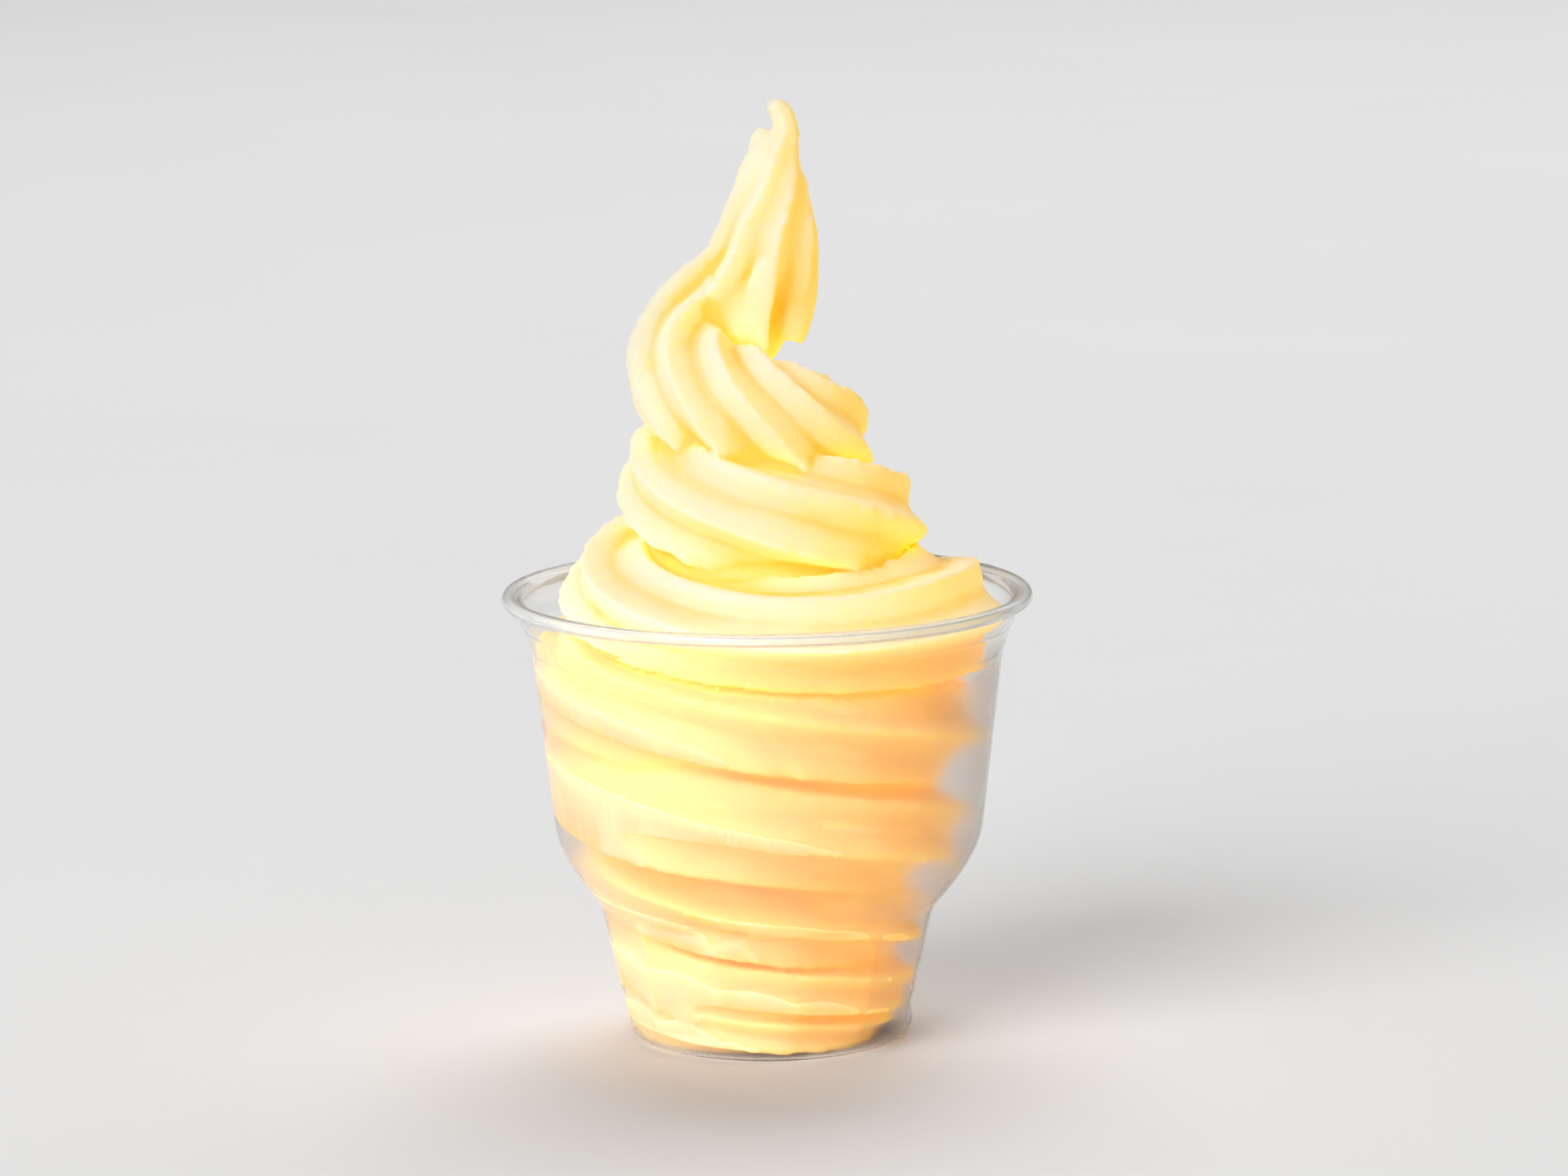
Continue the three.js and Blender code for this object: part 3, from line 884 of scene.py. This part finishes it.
def shared(tree, name):
    """A value that the mesh holds for each of its corners."""
    node = tree.nodes.new("ShaderNodeAttribute")
    node.attribute_name = name
    return Field(tree, node.outputs["Fac"])


def bumped(tree, shader, height, distance, strength):
    node = tree.nodes.new("ShaderNodeBump")
    feed(tree, node.inputs["Height"], height)
    feed(tree, node.inputs["Distance"], distance)
    feed(tree, node.inputs["Strength"], strength)
    tree.links.new(node.outputs["Normal"], shader.inputs["Normal"])


def set_up(shader, **values):
    for name, value in values.items():
        shader.inputs[name.replace("_", " ")].default_value = value


def soft_serve_material():
    material, tree, shader, place = new_material("yellow soft serve")
    finish = SOFT_FINISH
    hollow, touching = shared(tree, "hollow"), shared(tree, "touching")
    churn = noise(tree, place, finish["churn_scale"], 3.0) - 0.5
    # Painted highlight on the crests and painted shade in the valleys, ramped by how hollow each place is,
    # with random churn.
    colour = ramp(hollow + churn * finish["churn_share"], (
        (finish["highlight_stop"], CREST_HIGHLIGHT),
        (finish["body_stop"], YELLOW_BODY),
        (finish["valley_shade_stop"], VALLEY_SHADE),
    ))
    height = separated(place)[2]
    # Painted shade of the cup wall on the food behind it: it fades out above the rim and spares the deepest
    # gaps.
    open_face = 1 - eased(hollow, *GAP_HOLLOW) * GAP_SHARE
    painted_wall_shade = (1 - eased(height, *WALL_SHADE_FADE)) * open_face * BEHIND_WALL_SHADE_SHARE
    colour = mixed(painted_wall_shade, colour, BEHIND_WALL_SHADE)
    # Where the food touches the wall: painted wall shade, and deeper painted shade low in the cup.
    pressed = mixed(eased(height, *LOW_SHADE_FADE), LOW_SHADE_YELLOW, PRESSED_SHADE_YELLOW)
    feed(tree, shader.inputs["Base Color"], mixed(touching, colour, pressed))
    grain = noise(tree, place, finish["grain_scale"], 2.0)
    pebble = noise(tree, place, finish["pebble_scale"], 2.0)
    feed(tree, shader.inputs["Roughness"], grain * finish["roughness_spread"] + finish["roughness"])
    bumped(tree, shader, grain + pebble, finish["bump"], finish["bump_strength"])
    set_up(
        shader, Subsurface_Weight=1.0, Subsurface_Radius=(1.0, 0.9, 0.2), Subsurface_Scale=0.007,
        Specular_IOR_Level=0.25)
    return material


def clear_plastic_material():
    material, tree, shader, place = new_material("clear plastic")
    finish = CLEAR_FINISH
    ripple = noise(tree, place, finish["ripple_scale"], 1.0)
    smear = noise(tree, place, finish["smear_scale"], 3.0)
    feed(tree, shader.inputs["Roughness"], smear * finish["roughness_spread"] + finish["roughness"])
    bumped(tree, shader, ripple, finish["ripple"], finish["ripple_strength"])
    set_up(shader, Base_Color=CLEAR_PLASTIC, Transmission_Weight=1.0, IOR=PLASTIC_IOR)
    return material


def hazy_plastic_material():
    material, tree, shader, place = new_material("hazy inside of the plastic")
    finish = HAZE_FINISH
    height = separated(place)[2]
    mist = noise(tree, place, finish["mist_scale"], 3.0)
    haze = 1 - eased(height + (mist - 0.5) * finish["mist_edge"], *HAZE_FADE)
    lip = eased(height, *LIP_HAZE)
    rough = haze * (mist * finish["roughness_spread"] + finish["roughness"])
    rough = rough + lip * finish["lip_roughness"] + finish["least_roughness"]
    clear = 1 - haze * finish["milk"] - lip * finish["lip_milk"]
    feed(tree, shader.inputs["Base Color"], mixed(haze, CLEAR_PLASTIC, MILKY_HAZE))
    feed(tree, shader.inputs["Roughness"], rough)
    feed(tree, shader.inputs["Transmission Weight"], clear)
    set_up(shader, IOR=PLASTIC_IOR, Sheen_Weight=0.12, Sheen_Roughness=0.4)
    return material


def floor_material():
    material, tree, shader, place = new_material("pale floor")
    finish = FLOOR_FINISH
    cloud = noise(tree, place, finish["cloud_scale"], 3.0)
    lighter = tuple(finish["lighter"] * part for part in FLOOR_GREY[:3]) + (1,)
    tone = ramp(cloud, ((finish["dark_stop"], FLOOR_GREY), (finish["light_stop"], lighter)))
    feed(tree, shader.inputs["Base Color"], tone)
    set_up(shader, Roughness=0.7)
    return material


# Stage

def camera():
    lens = bpy.data.cameras.new("camera")
    lens.sensor_width = SENSOR_WIDTH
    lens.lens = FOCAL_PIXELS * SENSOR_WIDTH / PICTURE_WIDTH
    lens.clip_start = 0.01
    holder = add_object("camera", lens)
    elevation = math.radians(CAMERA["elevation"])
    roll = math.radians(CAMERA["roll"])
    back = Vector((0, -math.cos(elevation), math.sin(elevation)))
    level = Vector((1, 0, 0))
    up = back.cross(level)
    right = level * math.cos(roll) + up * math.sin(roll)
    top = up * math.cos(roll) - level * math.sin(roll)
    place = (Vector(CAMERA["target"]) + back * CAMERA["distance"]) * MM
    rotation = Matrix((right, top, back)).transposed().to_4x4()
    holder.matrix_world = Matrix.Translation(place) @ rotation
    bpy.context.scene.camera = holder


def soft_light(kind):
    lamp = bpy.data.lights.new(kind["name"], "AREA")
    lamp.shape = "DISK"
    lamp.size = kind["size"]
    lamp.energy = kind["power"]
    lamp.color = kind["colour"]
    holder = add_object(kind["name"], lamp)
    towards = Vector(AIM) - Vector(kind["place"])
    rotation = towards.to_track_quat("-Z", "Y").to_matrix().to_4x4()
    holder.matrix_world = Matrix.Translation(kind["place"]) @ rotation
    return holder


def only_for(piece, lamp):
    """Keeps a lamp's light to one object."""
    lit = bpy.data.collections.new("lit by the " + lamp.name)
    lit.objects.link(piece)
    lamp.light_linking.receiver_collection = lit


def glow_for(piece):
    """Lights the soft serve alone, with no shadows."""
    for kind in GLOW_LAMPS:
        lamp = soft_light(kind)
        lamp.data.use_shadow = False
        only_for(piece, lamp)


def studio():
    floor = bpy.data.meshes.new("floor")
    signs = ((-1, -1), (1, -1), (1, 1), (-1, 1))
    floor.from_pydata([(x * FLOOR_HALF, y * FLOOR_HALF, 0) for x, y in signs], [], [(0, 1, 2, 3)])
    floor.materials.append(floor_material())
    ground = add_object("floor", floor)
    ground.visible_diffuse = False
    only_for(ground, soft_light(FLOOR_LIGHT))
    world = bpy.data.worlds.new("studio")
    world.use_nodes = True
    background = world.node_tree.nodes["Background"]
    background.inputs["Color"].default_value = WHITE + (1,)
    background.inputs["Strength"].default_value = WORLD_STRENGTH
    bpy.context.scene.world = world
    soft_light(KEY_LIGHT)
    soft_light(BACK_LIGHT)
    scene = bpy.context.scene
    scene.view_settings.view_transform = "Standard"
    for kind, count in BOUNCES.items():
        setattr(scene.cycles, kind, count)


def main():
    camera()
    studio()
    turned = turned_tree()
    ridged = rope_tree()
    swirl = soft_serve_piece(soft_serve_material(), turned, ridged)
    cup = cup_piece(clear_plastic_material(), hazy_plastic_material(), turned)
    for piece, node, slot in ((swirl, "soft_serve", "soft_serve"), (cup, "cup", "clear_plastic")):
        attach(piece, "root")
        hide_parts(node)
    cup.visible_shadow = False
    glow_for(swirl)


main()
